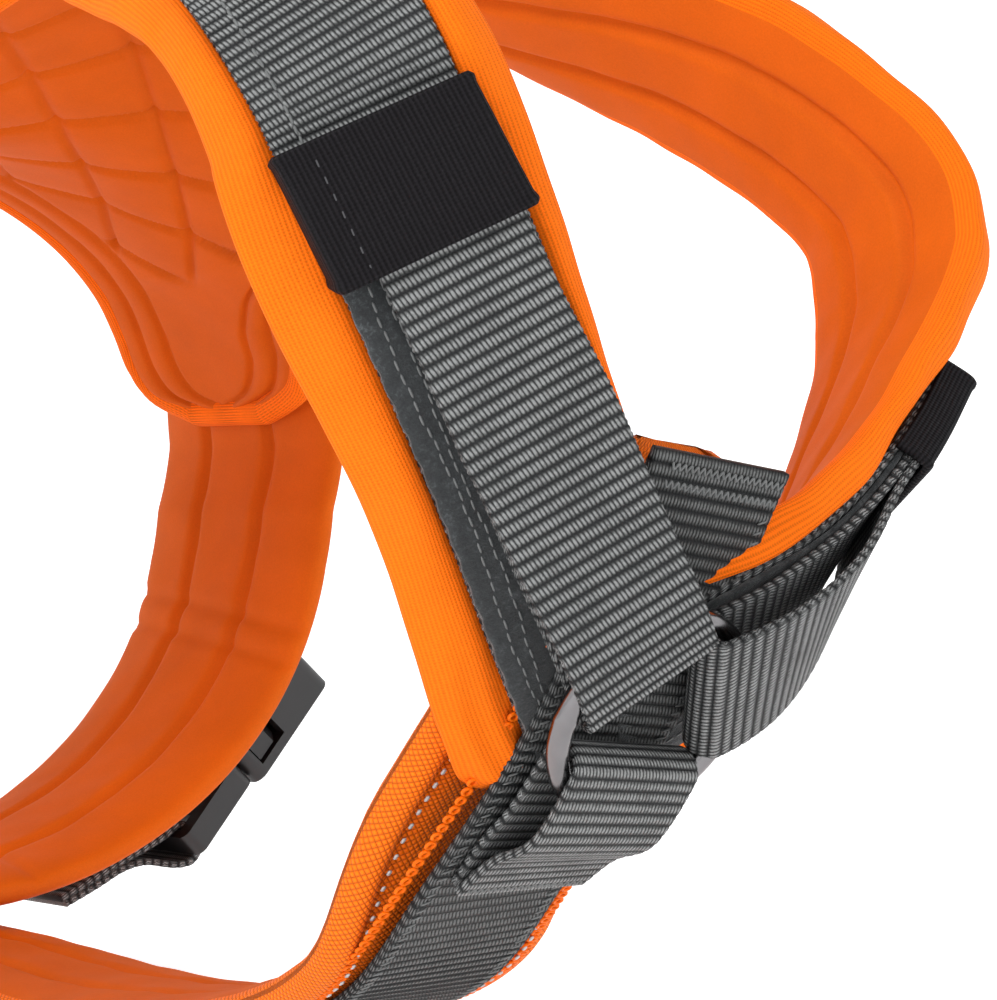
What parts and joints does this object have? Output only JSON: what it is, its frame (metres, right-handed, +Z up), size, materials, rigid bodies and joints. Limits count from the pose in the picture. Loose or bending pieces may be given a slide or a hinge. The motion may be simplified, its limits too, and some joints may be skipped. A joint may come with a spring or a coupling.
{
  "type": "padded no-pull dog harness",
  "caption": "Padded Y-front dog harness with a chest ring, hook-and-loop shoulder straps under elastic keepers, a saddle with a handle, and buckled girth.",
  "frame": {"origin": "on the saddle's inner face at the top of the girth, where the harness rests on the dog's back", "axes": "+Z up, -Y towards the dog's head, +X to the dog's left"},
  "size_m": [0.2216, 0.3008, 0.2321],
  "materials": {
    "orange_knit": "fine ribbed knit over foam",
    "orange_lining": "smooth brushed lining over foam",
    "orange_cordura": "coarse basket weave",
    "grey_webbing": "ribbed nylon webbing",
    "dark_webbing": "dark touch tape",
    "black_elastic": "fine ribbed elastic",
    "polished_ring": "polished welded wire",
    "black_plastic": "moulded acetal",
    "reflective_thread": "reflective thread"
  },
  "bodies": {
    "harness": {"saddle_lining": "orange_lining", "saddle_shell": "orange_cordura", "saddle_spine_webbing": "grey_webbing", "grab_handle": "grey_webbing", "rear_ring_loop": "grey_webbing", "chest_pad": "orange_cordura", "chest_webbing": "grey_webbing", "chest_ring_loop": "grey_webbing", "girth_pad": "orange_lining", "shoulder_pad_left": "orange_knit", "shoulder_base_webbing_left": "grey_webbing", "shoulder_touch_tape_left": "dark_webbing", "shoulder_adjust_strap_left": "grey_webbing", "shoulder_keeper_left": "black_elastic", "girth_webbing_left": "grey_webbing", "saddle_side_webbing_left": "grey_webbing", "buckle_socket_left": "black_plastic", "shoulder_pad_right": "orange_knit", "shoulder_base_webbing_right": "grey_webbing", "shoulder_touch_tape_right": "dark_webbing", "shoulder_adjust_strap_right": "grey_webbing", "shoulder_keeper_right": "black_elastic", "girth_webbing_right": "grey_webbing", "saddle_side_webbing_right": "grey_webbing", "buckle_socket_right": "black_plastic"},
    "chest_ring": {"chest_ring": "polished_ring"},
    "rear_leash_ring": {"rear_leash_ring": "polished_ring"},
    "buckle_plug_left": {"buckle_plug_left": "black_plastic", "buckle_strap_left": "grey_webbing"},
    "buckle_prong_front_left": {"buckle_prong_front_left": "black_plastic"},
    "buckle_prong_rear_left": {"buckle_prong_rear_left": "black_plastic"},
    "buckle_plug_right": {"buckle_plug_right": "black_plastic", "buckle_strap_right": "grey_webbing"},
    "buckle_prong_front_right": {"buckle_prong_front_right": "black_plastic"},
    "buckle_prong_rear_right": {"buckle_prong_rear_right": "black_plastic"}
  },
  "joints": [
    {"name": "chest_ring_spin", "type": "hinge", "parent": "harness", "child": "chest_ring", "pos_m": [0, -0.2508, -0.1136], "axis": [0, -0.8649, -0.5019], "continuous": true},
    {"name": "rear_ring_swing", "type": "hinge", "parent": "harness", "child": "rear_leash_ring", "pos_m": [0, -0.012, 0.01295], "axis": [1, 0, 0], "range_deg": [0, 140]},
    {"name": "buckle_release_left", "type": "slide", "parent": "harness", "child": "buckle_plug_left", "axis": [-0.6532, 0, -0.7571], "range_m": [0, 0.028], "deforming": ["buckle_prong_front_left", "buckle_prong_rear_left"]},
    {"name": "prong_squeeze_rear_left", "type": "hinge", "parent": "buckle_plug_left", "child": "buckle_prong_rear_left", "pos_m": [0.08447, 0.0106, -0.14284], "axis": [0.7571, 0, -0.6532], "range_deg": [0, 13], "stiffness_Nm_per_rad": 0.05},
    {"name": "prong_squeeze_front_left", "type": "hinge", "parent": "buckle_plug_left", "child": "buckle_prong_front_left", "pos_m": [0.08447, -0.0106, -0.14284], "axis": [0.7571, 0, -0.6532], "range_deg": [-13, 0], "stiffness_Nm_per_rad": 0.05},
    {"name": "buckle_release_right", "type": "slide", "parent": "harness", "child": "buckle_plug_right", "axis": [0.6532, 0, -0.7571], "range_m": [0, 0.028], "deforming": ["buckle_prong_front_right", "buckle_prong_rear_right"]},
    {"name": "prong_squeeze_front_right", "type": "hinge", "parent": "buckle_plug_right", "child": "buckle_prong_front_right", "pos_m": [-0.08447, -0.0106, -0.14284], "axis": [-0.7571, 0, -0.6532], "range_deg": [0, 13], "stiffness_Nm_per_rad": 0.05},
    {"name": "prong_squeeze_rear_right", "type": "hinge", "parent": "buckle_plug_right", "child": "buckle_prong_rear_right", "pos_m": [-0.08447, 0.0106, -0.14284], "axis": [-0.7571, 0, -0.6532], "range_deg": [-13, 0], "stiffness_Nm_per_rad": 0.05}
  ],
  "couplings": [
    {"joint": "prong_squeeze_front_left", "follows": "prong_squeeze_rear_left", "ratio": -1},
    {"joint": "prong_squeeze_rear_right", "follows": "prong_squeeze_front_right", "ratio": -1}
  ]
}
